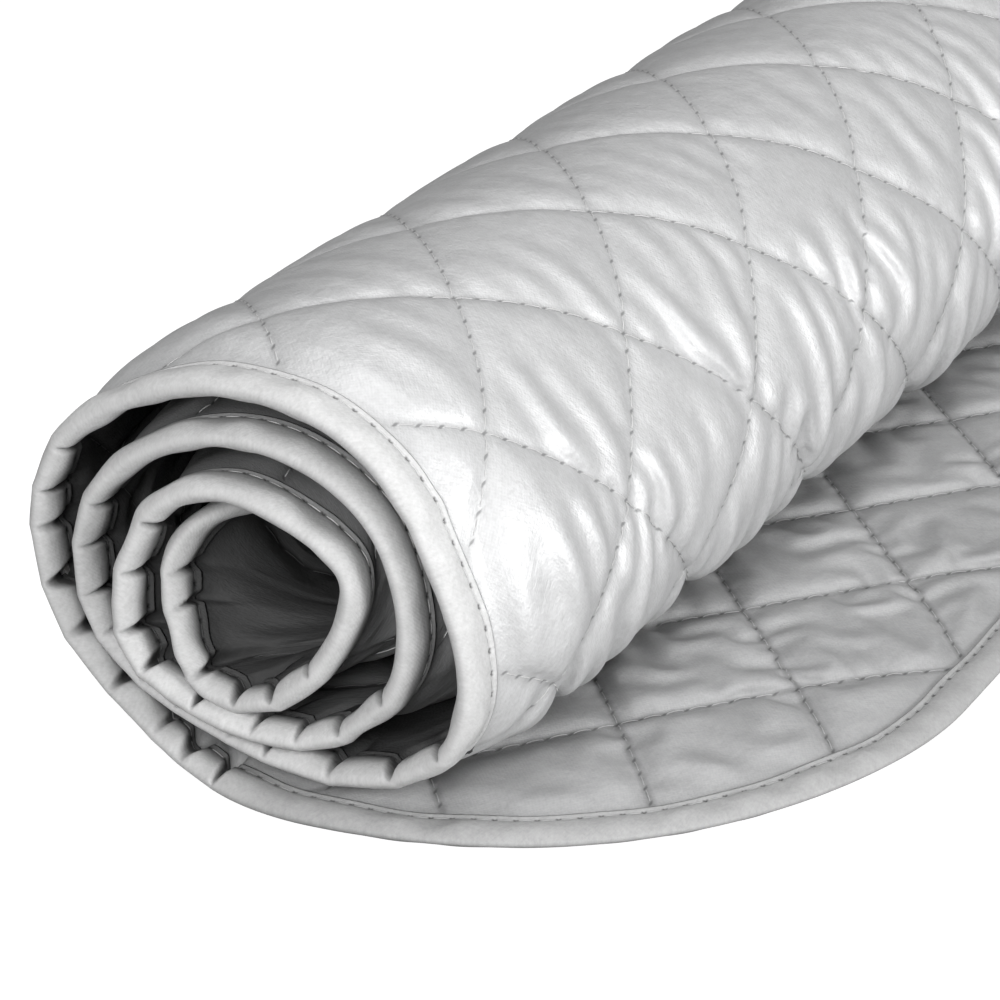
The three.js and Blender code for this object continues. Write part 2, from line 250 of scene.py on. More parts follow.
def outline_place(sizes, u):
    """(s, y, outward s, outward y) at a length round the outline, from the middle of the free end."""
    near, far, half = sizes.corner, sizes.length - sizes.corner, sizes.width / 2 - sizes.corner
    arc = math.pi / 2 * sizes.corner
    legs = np.cumsum([half, arc, far - near, arc, 2 * half, arc, far - near, arc, half])
    u = np.mod(u, legs[-1])
    leg = np.searchsorted(legs, u, side="right").clip(0, 8)
    t = u - np.concatenate([[0], legs])[leg]
    # Every second leg is a corner. Angle 0 points along -s, 90 degrees along -y.
    corner = leg % 2 == 1
    angle = leg // 2 * math.pi / 2 + np.where(corner, t / sizes.corner, 0)
    run = np.where(corner, 0, t)
    out_s, out_y = -np.cos(angle), -np.sin(angle)
    from_s = np.array([near, near, near, far, far, far, far, near, near])[leg]
    from_y = np.array([0, -half, -half, -half, -half, half, half, half, half])[leg]
    s = from_s + sizes.corner * out_s - run * out_y
    y = from_y + sizes.corner * out_y + run * out_s
    return s, y, out_s, out_y


def even_steps(points):
    """A line of points again, at even steps along it."""
    lengths = np.concatenate([[0], np.cumsum(np.hypot(*np.diff(points, axis=0).T))])
    at = np.arange(0, lengths[-1], ROUTE_STEP)
    return np.stack([np.interp(at, lengths, points[:, k]) for k in (0, 1)], 1)


def smooth_line(knots):
    """A smooth line through places (x, z) in mm, at even steps and in metres."""
    knots = np.array(knots, float) * MM
    knots = np.concatenate([2 * knots[:1] - knots[1:2], knots, 2 * knots[-1:] - knots[-2:-1]])
    times = np.concatenate([[0], np.cumsum(np.sqrt(np.hypot(*np.diff(knots, axis=0).T)))])
    line = []
    for i in range(1, len(knots) - 2):
        a, b, c, d = knots[i - 1:i + 3]
        ta, tb, tc, td = times[i - 1:i + 3]
        t = np.linspace(tb, tc, 40, endpoint=False)[:, None]
        ab = a + (b - a) * (t - ta) / (tb - ta)
        bc = b + (c - b) * (t - tb) / (tc - tb)
        cd = c + (d - c) * (t - tc) / (td - tc)
        abc = ab + (bc - ab) * (t - ta) / (tc - ta)
        bcd = bc + (cd - bc) * (t - tb) / (td - tb)
        line.append(abc + (bcd - abc) * (t - tb) / (tc - tb))
    line = even_steps(np.concatenate(line))
    reach = int(4 * ROUTE_SOFTNESS / ROUTE_STEP)
    kernel = np.exp(-0.5 * (np.arange(-reach, reach + 1) * ROUTE_STEP / ROUTE_SOFTNESS) ** 2)
    kernel /= kernel.sum()
    padded = np.concatenate([np.repeat(line[:1], reach, 0), line, np.repeat(line[-1:], reach, 0)])
    return even_steps(np.stack([np.convolve(padded[:, k], kernel, "valid") for k in (0, 1)], 1))


def middle_route():
    """The pad's middle in the middle of the roll: the outermost turn, and smaller copies of it inside."""
    turn = np.array(OUTER_TURN, float) - ROLL_CENTRE
    part = np.linspace(0, 1, len(turn))[:, None]
    knots = [np.array(FLAT_ROUTE, float)]
    for number in range(TURN_COUNT):
        start = 1 - number * TURN_SHRINK
        end = (start - TURN_SHRINK) / (1 - TURN_SHRINK)
        knots.append(ROLL_CENTRE + turn * (start + part * (end - start)))
    return smooth_line(np.concatenate(knots))


def edge_folds(s, along, seed):
    """Folds of an edge that runs the given ways along the pad: their lengths s, depths and widths."""
    draw = np.random.default_rng(seed)
    at = FIRST_FOLD + np.cumsum(draw.uniform(*FOLD_STEPS, FOLD_COUNT)) - FOLD_STEPS[0]
    share, spread = draw.uniform(0.4, 1.25, FOLD_COUNT), draw.uniform(1.1, 2.5, FOLD_COUNT)
    runs = sum(part * np.interp(at, s, along[:, k]) for k, part in enumerate(FOLD_WAY))
    kept = (runs > FOLD_LEAST) & (at < LAST_FOLD)
    return at[kept], (share * BUCKLE_DEPTH)[kept], (spread * (0.5 + 0.6 * share) * MM)[kept]


def route_table(line):
    """Lengths along the pad, and its places (x, z) and the ways (x, z) that it runs there."""
    s = FREE_END_LENGTH - line[0, 0] + ROUTE_STEP * np.arange(len(line))
    return s, np.concatenate([line, unit(np.gradient(line, axis=0))], 1)


class Winding:
    """Carries places on the flat pad to their places on the wound one.

    s runs along the pad from its free end, y across it, and b through it, 0 half way and positive
    towards the outside of the roll."""

    def __init__(self, sizes):
        self.sizes = sizes
        self.tables = [route_table(line) for line in (middle_route(), smooth_line(END_ROUTE))]
        s, along = self.tables[1][0], self.tables[1][1][:, 2:]
        self.folds = {side: edge_folds(s, along, sizes.seed + 20 + side) for side in (-1, 1)}
        # Between its folds the near edge runs straighter: how far that moves it inwards
        bend = np.gradient(np.unwrap(np.arctan2(along[:, 1], along[:, 0])), ROUTE_STEP)
        folds = self.folds[-1][0]
        after = np.searchsorted(folds, s).clip(1, len(folds) - 1)
        gap = folds[after] - folds[after - 1]
        sagged = np.maximum((s - folds[after - 1]) * (folds[after] - s), 0) / 2
        self.straighter = s, KINK * np.tanh(bend * sagged * np.minimum(1, (KINK_GAP / gap) ** 2) / KINK)

    def place(self, s, y, b):
        # 1 at the pad's outline, and 0 well inside it
        share = 1 - changed(outline_distance(self.sizes, s, y), *EDGE_PART)[..., None]
        middle, end = (
            np.stack([np.interp(s, table_s, rows[:, k]) for k in range(4)], -1)
            for table_s, rows in self.tables)
        flat = 1 - changed(s, *LIFTED)
        slide_at, slide = np.array(NEAR_SLIDE).T * MM
        y = (y + np.sign(y) * SPREAD * flat * changed(np.abs(y), *SPREAD_PART)
             - np.interp(s, slide_at, slide) * changed(-y, *NEAR_PART))
        b = b + (EDGE_OUT + np.interp(s, *self.straighter) * (y < 0)) * share[..., 0]
        middle[..., 1] *= 1 - TAPER * y * changed(middle[..., 1], *TAPER_PART)
        row = middle + share * (end - middle)
        along = unit(row[..., 2:])
        x = row[..., 0] - b * along[..., 1]
        z = row[..., 1] + b * along[..., 0]
        return np.stack([x, y + 0 * x, np.maximum(z, LEAST_HEIGHT)], -1)


@functools.lru_cache(maxsize=None)
def winding():
    return Winding(pad())


# The quilted cloth


@functools.lru_cache(maxsize=None)
def relaxed_cloth(spare_s, spare_y, stiffness, push, fold, slenderness, seed):
    """Moves (s, y, height) in mm of a patch of cloth sewn down along the quilting's lattice.

    The cloth is a net of springs, cut unevenly larger than the lattice, with wadding that pushes it up. It
    is let go and comes to rest in soft folds. The patch joins on to itself. The fourth value is the height
    of the same cloth drawn taut."""
    sizes = pad()
    per = STEPS_PER_DIAMOND
    rows, columns = (per * count for count in TILE_DIAMONDS)
    i, j = np.meshgrid(np.arange(rows), np.arange(columns), indexing="ij")
    step_s, step_y = sizes.diamond_length / MM / per, sizes.diamond_width / MM / per
    sewn = (((i + j) % per == 0) | ((i - j) % per == 0)) & (i % STITCH_EVERY == 0)
    draw = np.random.default_rng(seed)
    waves_s, waves_y = np.fft.fftfreq(rows)[:, None] / step_s, np.fft.fftfreq(columns)[None] / step_y

    def noise(spectrum):
        made = np.real(np.fft.ifft2(np.fft.fft2(draw.normal(0, 1, (rows, columns))) * spectrum))
        return made / made.std()

    start = noise(np.exp(-(((np.hypot(slenderness * waves_s, waves_y) - 1 / fold) / 0.06) ** 2)))
    slack = np.exp(-((28 * np.hypot(waves_s, waves_y)) ** 2))
    spare_s, spare_y = (spare * np.clip(1 + 0.9 * noise(slack), 0, 3) for spare in (spare_s, spare_y))
    move = np.zeros((rows, columns, 3), np.float32)
    move[..., 2] = 0.25 * start * ~sewn
    speed = np.zeros_like(move)
    springs = []
    for di, dj, stiff in SPRINGS:
        flat = np.array([di * step_s, dj * step_y, 0.0], np.float32)
        length = np.hypot(di * step_s * (1 + spare_s), dj * step_y * (1 + spare_y))
        springs.append((di, dj, flat, length[..., None].astype(np.float32), stiff))
    free = (~sewn)[..., None]
    for _ in range(REST_STEPS):
        force = np.zeros_like(move)
        for di, dj, flat, length, stiff in springs:
            apart = np.roll(move, (-di, -dj), (0, 1)) - move + flat
            pull = stiff * (1 - length / np.sqrt((apart * apart).sum(-1, keepdims=True))) * apart
            force += pull
            force -= np.roll(pull, (di, dj), (0, 1))
        for axis in (0, 1):
            curve = np.roll(move, 1, axis) + np.roll(move, -1, axis) - 2 * move
            force -= stiffness * (np.roll(curve, 1, axis) + np.roll(curve, -1, axis) - 2 * curve)
        force[..., 2] += push * (1 - move[..., 2] / SETTLED_PUFF)
        speed = (KEPT_SPEED * speed + TIME_STEP * force) * free
        move += speed
    # Drawn taut, the cloth is nearly flat between its seams. It dips deeply along one way of them, more
    # steeply on one side than on the other, and a little along the other way.
    apart = 1 / math.hypot(1 / (per * step_s), 1 / (per * step_y))
    to_soft, to_sharp = ((at / per - np.round(at / per)) * apart for at in (i + j, i - j))
    slope = np.where(to_sharp < 0, 3.6, 1.5)
    sharp_dip, soft_dip = 0.85 * np.exp(-np.abs(to_sharp) / slope), 0.4 * np.exp(-np.abs(to_soft) / 5)
    taut = SETTLED_PUFF * (1 - sharp_dip) * (1 - soft_dip)
    return np.concatenate([move, taut[..., None]], 2).astype(float)


def relief(side):
    """The moves of one face's cloth."""
    seed = pad().seed
    return relaxed_cloth(*OUTER_RELIEF, seed) if side > 0 else relaxed_cloth(*INNER_RELIEF, seed + 5)


def quilted_face(side):
    """The grid of one quilted face: places on the flat pad (s, y) and wound points. Side is 1 outside."""
    sizes = pad()
    per = STEPS_PER_DIAMOND
    step_s, step_y = sizes.diamond_length / per, sizes.diamond_width / per
    first_i, last_i = (math.floor((s - LATTICE_S) / step_s) for s in (-step_s, sizes.length + 2 * step_s))
    half = sizes.width / 2 + step_y
    first_j, last_j = (math.floor((y - LATTICE_Y) / step_y) for y in (-half, half + step_y))
    i, j = np.meshgrid(np.arange(first_i, last_i), np.arange(first_j, last_j), indexing="ij")
    s, y = LATTICE_S + i * step_s, LATTICE_Y + j * step_y
    trim = 5 * MM
    # Points just outside the trimmed outline are drawn in to it, and the rest are left out.
    inside = outline_distance(sizes, s, y) - trim
    eps = 1e-5
    slope_s = (outline_distance(sizes, s + eps, y) - outline_distance(sizes, s - eps, y)) / (2 * eps)
    slope_y = (outline_distance(sizes, s, y + eps) - outline_distance(sizes, s, y - eps)) / (2 * eps)
    draw_in = np.clip(-inside, 0, None)
    kept = inside > -1.2 * max(step_s, step_y)
    s, y = s + draw_in * slope_s, y + draw_in * slope_y
    tile = relief(side)
    moved = tile[i % tile.shape[0], j % tile.shape[1]] * MM
    level, loose = face_level(side, s, y, moved[..., 2], moved[..., 3])
    # The puffed cloth sags, along one of the two ways of the seams.
    sag = SAG * np.maximum(moved[..., 2], 0) * loose
    at_s = s + loose * moved[..., 0] + side * sag * step_s / math.hypot(step_s, step_y)
    at_y = y + loose * moved[..., 1] - sag * step_y / math.hypot(step_s, step_y)
    return s, y, winding().place(at_s, at_y, side * level), kept


def face_level(side, s, y, risen, taut):
    """A quilted face's half thickness where its cloth has risen, and how free the cloth is to shift."""
    sizes = pad()
    deep = outline_distance(sizes, s, y)
    open_cloth = changed(deep, tape_leg(s), 9 * MM)
    pressed = edge_half(s) - 1.2 * sizes.tape_thickness
    slack = 1
    if side > 0:
        # The cloth is taut over the top of the roll, and slack down its side.
        slack = 0.12 + 0.73 * changed(s, *COVER_SLACK)
        risen = taut + slack * (risen - taut)
    puffed = sizes.seam_level + sizes.puff / (SETTLED_PUFF * MM) * risen
    # Inside the roll, the neighbouring turns press the folds flat.
    buried = changed(s, *(COVER_BURIED if side > 0 else LINING_BURIED))
    puffed = puffed - buried * np.maximum(puffed - 0.46 * sizes.thickness, 0)
    level = pressed + open_cloth * (puffed - pressed)
    if side < 0:
        level = level - buckle(s, y, deep)
    return level, open_cloth * slack


def edge_half(s):
    """Half the thickness of the bound edge, which lies thinner on the free end."""
    return pad().edge_thickness / 2 * (0.72 + 0.28 * changed(s, *EDGE_FULL))


def tape_leg(s):
    """Width of the tape's legs, which are drawn out narrower on the free end and in the core."""
    return pad().tape_leg * (0.9 + 0.1 * changed(s, *LEG_FULL) - 0.12 * changed(s, *LEG_NARROW))


def grid_faces(rows, columns, wrap_rows=False, wrap_columns=False):
    i = np.arange(rows if wrap_rows else rows - 1)[:, None]
    j = np.arange(columns if wrap_columns else columns - 1)[None]
    k, m = (i + 1) % rows, (j + 1) % columns
    return np.stack(np.broadcast_arrays(
        i * columns + j, k * columns + j, k * columns + m, i * columns + m), -1).reshape(-1, 4)


def vertex_normals(points, faces):
    """Smooth normals of a mesh, by the area of the faces round each point."""
    corners = points[faces]
    area = np.cross(corners[:, 2] - corners[:, 0], corners[:, 3] - corners[:, 1])
    normals = np.zeros_like(points)
    for k in range(4):
        np.add.at(normals, faces[:, k], area)
    return normals / np.maximum(np.linalg.norm(normals, axis=1, keepdims=True), 1e-12)


def new_mesh(name, points, faces, material, normals=None, attributes=None, bake=None):
    """A mesh object, with vectors as its points' attributes and a flat map of its faces' corners."""
    mesh = bpy.data.meshes.new(name)
    mesh.vertices.add(len(points))
    mesh.vertices.foreach_set("co", points.astype(np.float32).ravel())
    mesh.loops.add(faces.size)
    mesh.loops.foreach_set("vertex_index", faces.astype(np.int32).ravel())
    mesh.polygons.add(len(faces))
    mesh.polygons.foreach_set("loop_start", np.arange(0, faces.size, faces.shape[1], dtype=np.int32))
    mesh.update(calc_edges=True)
    for title, vectors in (attributes or {}).items():
        made = mesh.attributes.new(title, "FLOAT_VECTOR", "POINT")
        made.data.foreach_set("vector", vectors.astype(np.float32).ravel())
    if bake is not None:
        low, high = bake.min((0, 1)), bake.max((0, 1))
        flat_map = 0.002 + 0.996 * (bake - low) / (high - low)
        mesh.uv_layers.new(name="OFBake").uv.foreach_set("vector", flat_map.astype(np.float32).ravel())
    mesh.validate()
    if normals is not None:
        mesh.normals_split_custom_set_from_vertices(normals.astype(np.float32))
    mesh.materials.append(material)
    made = bpy.data.objects.new(name, mesh)
    bpy.context.collection.objects.link(made)
    return made


def add_stretches(name, points, faces, material, attributes, normals=None, bake=None):
    """Splits one layer where the free end bends, and attaches the stretch on the roll to the roll's body.

    Returns the pieces by stretch: roll, bend_1, bend_2 and bend_3."""
    x = FREE_END_LENGTH - attributes["flat_place"][:, 0][faces].mean(1)
    stretch_of = np.searchsorted(BEND_STARTS, x)
    made = {}
    for stretch in np.unique(stretch_of):
        chosen = stretch_of == stretch
        used, renumbered = np.unique(faces[chosen], return_inverse=True)
        title = "roll" if stretch == 0 else f"bend_{stretch}"
        piece = new_mesh(
            f"{name}_{title}", points[used], renumbered.reshape(-1, 4), material,
            None if normals is None else normals[used],
            {key: vectors[used] for key, vectors in attributes.items()},
            None if bake is None else bake[chosen])
        if stretch == 0:
            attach(piece, "roll")
        else:
            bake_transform(piece)
        made[title] = piece
    return made


def add_cover(name, side, material):
    s, y, points, kept = quilted_face(side)
    faces = grid_faces(*s.shape)
    faces = faces[kept.ravel()[faces].all(1)]
    if side < 0:
        faces = faces[:, ::-1]
    points = points.reshape(-1, 3)
    flat = np.stack([s.ravel(), y.ravel(), 0 * s.ravel()], 1)
    made = add_stretches(name, points, faces, material, {"flat_place": flat},
                         vertex_normals(points, faces), flat[faces][..., :2])
    for piece in made.values():
        declare_cloth(piece)
    return made


def declare_cloth(piece):
    """Works out the area of a piece of cloth's cut on the flat pad, which is then not used."""
    flat = np.zeros(len(piece.data.vertices) * 3, np.float32)
    piece.data.attributes["flat_place"].data.foreach_get("vector", flat)
    flat = flat.reshape(-1, 3)[:, :2].astype(float)
    corners = np.zeros(len(piece.data.loops), np.int32)
    piece.data.loops.foreach_get("vertex_index", corners)
    a, b, c, d = (flat[corners.reshape(-1, 4)[:, k]] for k in range(4))
    area = 0.5 * np.abs((c - a)[:, 0] * (d - b)[:, 1] - (c - a)[:, 1] * (d - b)[:, 0]).sum()


# The tape round the edge


def wander(u, total, seed, longest, shortest, count=9):
    """A smooth, seeded wave of about unit height along the outline, which joins on to itself."""
    draw = np.random.default_rng(seed)
    wave = np.zeros_like(u)
    for _ in range(count):
        laps = round(total / draw.uniform(shortest, longest))
        wave += np.sin(2 * math.pi * laps * u / total + draw.uniform(0, 2 * math.pi))
    return wave / math.sqrt(count / 2)


@functools.lru_cache(maxsize=None)
def edge_sections():
    """The tape's stitches round the outline, the sections of each, and the outline's length."""
    sizes = pad()
    total = 2 * (sizes.length + sizes.width) - (8 - 2 * math.pi) * sizes.corner
    return round(total / sizes.stitch), SECTIONS_PER_STITCH, total


def buckle(s, y, deep):
    """How far the inner face is drawn in where the edge has buckled, and let out between those folds."""
    s, y, deep = np.broadcast_arrays(s, y, deep)
    drawn_in = np.zeros(s.shape)
    leg = tape_leg(s)
    reach = np.where(deep < leg, 0.35 + 0.65 * np.clip(deep / leg, 0, 1) ** 0.8,
                     np.exp(-((np.maximum(deep - leg, 0) / (5 * MM)) ** 2)))
    for side in (-1, 1):
        close = (deep < BUCKLE_REACH) & (np.sign(y) == side) & (s > BUCKLED[0])
        at, share = s[close], reach[close]
        fold, apart = np.zeros(at.shape), np.full(at.shape, 1.0)
        for place, depth, width in zip(*winding().folds[side]):
            off = np.abs(at - place)
            apart = np.minimum(apart, off)
            away = (off / (width * (0.1 + 0.9 * share)) - 0.25) / 1.1
            fold = np.maximum(fold, depth * (1 - smoothstep(away)))
        pillow = PILLOW * (1 - np.exp(-((apart / (4 * MM)) ** 2)))
        drawn_in[close] = share * (fold - pillow) * changed(at, *BUCKLED)
    return drawn_in


@functools.lru_cache(maxsize=None)
def tape_surface():
    """The folded tape, one row for each section round the outline: outline places, insets, heights and
    how far it is shaded."""
    sizes = pad()
    stitches, per, total = edge_sections()
    count = stitches * per
    u = np.arange(count) * total / count
    s, y, out_s, out_y = outline_place(sizes, u)
    leg, depth, overhang = tape_leg(s)[:, None], 2.6 * MM, 0.9 * MM
    seam = leg - sizes.seam_inset
    angles = np.radians(np.array([90, 72, 54, 36, 18, 0]))
    # Half of the section, from the leg's edge, which is turned down to the cloth, to the middle of the fold
    half = np.concatenate([
        leg - 0.05 * MM, leg, leg - 0.3 * MM, seam + 0.55 * MM, seam,
        seam + (depth - seam) * np.array([0.1, 0.28, 0.55, 0.85]),
        depth - (depth + overhang) * np.cos(angles) + 0 * seam], 1)
    half_share = np.concatenate([np.ones(9), np.sin(angles)])
    inset = np.concatenate([half, half[:, -2::-1]], 1)
    share = np.concatenate([half_share, -half_share[-2::-1]])[None]
    side = np.sign(share)
    on_leg = np.clip(inset / seam, 0, 1)
    off_seam = inset - seam
    hole = (np.arange(count) % per == 0)[:, None] * np.exp(-((off_seam / (0.45 * MM)) ** 2))
    swell = np.sin(math.pi * np.clip(-off_seam / seam, 0, 1)) ** 0.7
    groove = np.exp(-((off_seam / (0.6 * MM)) ** 2))
    rise = 0.42 * MM * swell - 0.32 * MM * groove - 0.4 * MM * hole
    uneven = wander(u, total, sizes.seed + 1, 28 * MM, 9 * MM)[:, None] * 0.2 * MM
    rise = rise + uneven * np.sin(math.pi * on_leg)
    rise[:, [0, -1]] -= 1.4 * sizes.tape_thickness
    height = share * edge_half(s)[:, None] + side * rise
    leg_s, leg_y = (at[:, None] - inset * out[:, None] for at, out in ((s, out_s), (y, out_y)))
    fold = np.maximum(-share, 0) * buckle(leg_s, leg_y, np.maximum(inset, 0))
    height = height + fold
    lean = wander(u, total, sizes.seed + 2, 70 * MM, 25 * MM)[:, None] * 0.3 * MM
    # Painted shade: inside the roll the inner leg is shaded, and less so the outer one. On the free end
    # both are a little.
    rolled = changed(s[:, None], *LINING_BURIED)
    covered = 0.55 * changed(s[:, None], *OUTER_LEG_BURIED)
    hidden = np.where(side < 0, rolled, covered) * changed(inset / leg, 0.18, 0.6) + 0.4 * (1 - rolled)
    # The folds carry painted shade too.
    shade = np.clip(np.maximum(fold, 0) / BUCKLE_DEPTH + hidden, 0, 1)
    return u, s, y, out_s, out_y, inset + lean * on_leg, height, shade


def tape_across():
    """Lengths across the tape, from the edge of its outer leg."""
    inset, height = tape_surface()[5:7]
    return np.cumsum(np.hypot(
        np.diff(inset[0], prepend=inset[0, 0]), np.diff(height[0], prepend=height[0, 0])))


def add_tape(material):
    u, s, y, out_s, out_y, inset, height, shade = tape_surface()
    flat_s = s[:, None] - inset * out_s[:, None]
    flat_y = y[:, None] - inset * out_y[:, None]
    points = winding().place(flat_s, flat_y, height).reshape(-1, 3)
    rows, columns = inset.shape
    faces = grid_faces(rows, columns, wrap_rows=True)[:, ::-1]
    across = tape_across()
    attributes = {
        "flat_place": np.stack([flat_s, flat_y, 0 * flat_s], -1).reshape(-1, 3),
        # The third value of tape_place is the tape's painted shade.
        "tape_place": np.stack(np.broadcast_arrays(u[:, None], across[None], shade), -1).reshape(-1, 3),
    }
    # The flat map lays the long strip in rows, one above another.
    row, column = np.divmod(np.arange(len(faces)), columns - 1)
    fold, along = np.divmod(row, math.ceil(rows / TAPE_MAP_ROWS))
    corner = np.stack([along, column + columns * fold], 1).astype(float)
    bake = corner[:, None] + np.array([(0, 0), (1, 0), (1, 1), (0, 1)])[None, ::-1]
    made = add_stretches("binding_tape", points, faces, material, attributes,
                         vertex_normals(points, faces), bake)
    for piece in made.values():
        length = len(piece.data.polygons) / (columns - 1) * u[1]
    return made


# Stitches


def stitch_mesh(s, y, b, thread, lift):
    """Stitches as small bowed threads. s, y and b give each stitch's places, one row each, on the cloth."""
    rise = lift * np.array([-2.2, 0.2, 0.9, 0.9, 0.2, -2.2])
    side = np.sign(b)
    centre = winding().place(s, y, b + side * rise)
    above = winding().place(s, y, b + side * (rise + MM))
    along = unit(np.gradient(centre, axis=1))
    across = unit(np.cross(along, unit(above - centre)))
    up = np.cross(across, along)
    around = np.radians(np.arange(0, 360, 60))
    radius = thread / 2 * np.array([0.7, 1.0, 1.08, 1.08, 1.0, 0.7])
    ring = np.cos(around)[:, None] * across[..., None, :] + 0.8 * np.sin(around)[:, None] * up[..., None, :]
    points = centre[..., None, :] + radius[None, :, None, None] * ring
    count, rings, sides = points.shape[:3]
    one = grid_faces(rings, sides, wrap_columns=True)
    start = np.array([[0, 1, 2, 3], [0, 3, 4, 5]])
    end = start[:, ::-1] + (rings - 1) * sides
    one = np.concatenate([one[:, ::-1], start, end])
    faces = (one[None] + (np.arange(count) * rings * sides)[:, None, None]).reshape(-1, 4)
    flat = np.stack(np.broadcast_arrays(s[..., None], y[..., None], 0 * s[..., None]), -1)
    flat = np.broadcast_to(flat, (count, rings, sides, 3)).reshape(-1, 3)
    return points.reshape(-1, 3), faces, {"flat_place": flat}


def quilting_stitches(side):
    """Places of the quilting's stitches on one face, one row of six places each."""
    sizes = pad()
    per = STEPS_PER_DIAMOND
    step_s, step_y = sizes.diamond_length / per, sizes.diamond_width / per
    runs = []
    for way in (1, -1):
        first, last = (math.floor((s - LATTICE_S) / step_s / STITCH_EVERY) for s in (0, sizes.length))
        i = np.arange(first, last) * STITCH_EVERY
        for line in range(-LATTICE_LINES, LATTICE_LINES):
            j = way * (line * per - i)
            runs.append(np.stack([i, j, np.full_like(i, way)], 1))
    start = np.concatenate(runs)
    i = start[:, :1] + STITCH_EVERY * STITCH_PLACES
    j = start[:, 1:2] - start[:, 2:] * STITCH_EVERY * STITCH_PLACES
    s, y = LATTICE_S + i * step_s, LATTICE_Y + j * step_y
    kept = (outline_distance(sizes, s, y) - tape_leg(s)).min(1) > 0.6 * MM
    s, y, i, j = s[kept], y[kept], i[kept], j[kept]
    low_i, low_j = np.floor(i).astype(int), np.floor(j).astype(int)
    tile = relief(side)
    risen, taut = (sum(
        np.abs(1 - di - (i - low_i)) * np.abs(1 - dj - (j - low_j))
        * tile[(low_i + di) % tile.shape[0], (low_j + dj) % tile.shape[1], channel]
        for di in (0, 1) for dj in (0, 1)) for channel in (2, 3))
    level, _ = face_level(side, s, y, risen * MM, taut * MM)
    return s, y, side * level


def seam_stitches(side):
    """Places of the tape's stitches on one leg, one row of six places each."""
    _, s, y, out_s, out_y, inset, height, _ = tape_surface()
    stitches, per, _ = edge_sections()
    column = SEAM_COLUMN if side > 0 else inset.shape[1] - 1 - SEAM_COLUMN
    row = (np.arange(stitches)[:, None] + STITCH_PLACES) * per
    low = np.floor(row).astype(int)
    part = row - low

    def between(values):
        return values[low % len(s)] * (1 - part) + values[(low + 1) % len(s)] * part

    off, level = between(inset[:, column]), between(height[:, column])
    return between(s) - off * between(out_s), between(y) - off * between(out_y), level


# Materials


class Value:
    """A value of a material's nodes, for use in Python expressions."""

    def __init__(self, nodes, socket):
        self.nodes, self.socket = nodes, socket

    def maths(self, operation, *inputs):
        return self.nodes.add("ShaderNodeMath", {"operation": operation}, inputs)

    def __add__(self, other):
        return self.maths("ADD", self, other)

    __radd__ = __add__

    def __sub__(self, other):
        return self.maths("SUBTRACT", self, other)

    def __rsub__(self, other):
        return self.maths("SUBTRACT", other, self)

    def __mul__(self, other):
        return self.maths("MULTIPLY", self, other)

    __rmul__ = __mul__

    def __truediv__(self, other):
        return self.maths("DIVIDE", self, other)

    def sine(self):
        return self.maths("SINE", self)

    def size(self):
        return self.maths("ABSOLUTE", self)

    def off_whole(self):
        """Distance from the nearest whole number."""
        return (self - self.maths("ROUND", self)).size()

    def below(self, edge, softness):
        """1 where the value is under an edge, and 0 above it."""
        return self.nodes.add(
            "ShaderNodeMapRange", {"interpolation_type": "SMOOTHSTEP"},
            {"Value": self, "From Min": edge - softness, "From Max": edge + softness,
             "To Min": 1.0, "To Max": 0.0})


class Nodes:
    """Makes a material's nodes."""

    def __init__(self, material):
        material.use_nodes = True
        self.tree = material.node_tree
        self.tree.nodes.clear()

    def add(self, kind, settings=None, inputs=(), output=0):
        node = self.tree.nodes.new(kind)
        for name, value in (settings or {}).items():
            setattr(node, name, value)
        pairs = inputs.items() if isinstance(inputs, dict) else enumerate(inputs)
        for name, value in pairs:
            if isinstance(value, Value):
                self.tree.links.new(value.socket, node.inputs[name])
            else:
                node.inputs[name].default_value = value
        return Value(self, node.outputs[output]) if len(node.outputs) else None

    def attribute(self, name):
        return self.add("ShaderNodeAttribute", {"attribute_name": name}, output=1)

    def split(self, vector):
        return [self.add("ShaderNodeSeparateXYZ", None, [vector], k) for k in range(3)]

    def noise(self, vector, scale, detail):
        return self.add("ShaderNodeTexNoise", {"noise_dimensions": "3D"},
                        {"Vector": vector, "Scale": scale, "Detail": detail, "Roughness": 0.6})

    def shade(self, colour, brightness):
        """A colour made lighter or darker by a value."""
        grey = self.add("ShaderNodeCombineColor", None, [brightness, brightness, brightness])
        return self.add("ShaderNodeMix", {"data_type": "RGBA", "blend_type": "MULTIPLY"},
                        {"Factor": 1.0, 6: (*colour, 1.0), 7: grey}, 2)

    def surface(self, **inputs):
        shader = self.add("ShaderNodeBsdfPrincipled", None, inputs)
        self.add("ShaderNodeOutputMaterial", None, {"Surface": shader})


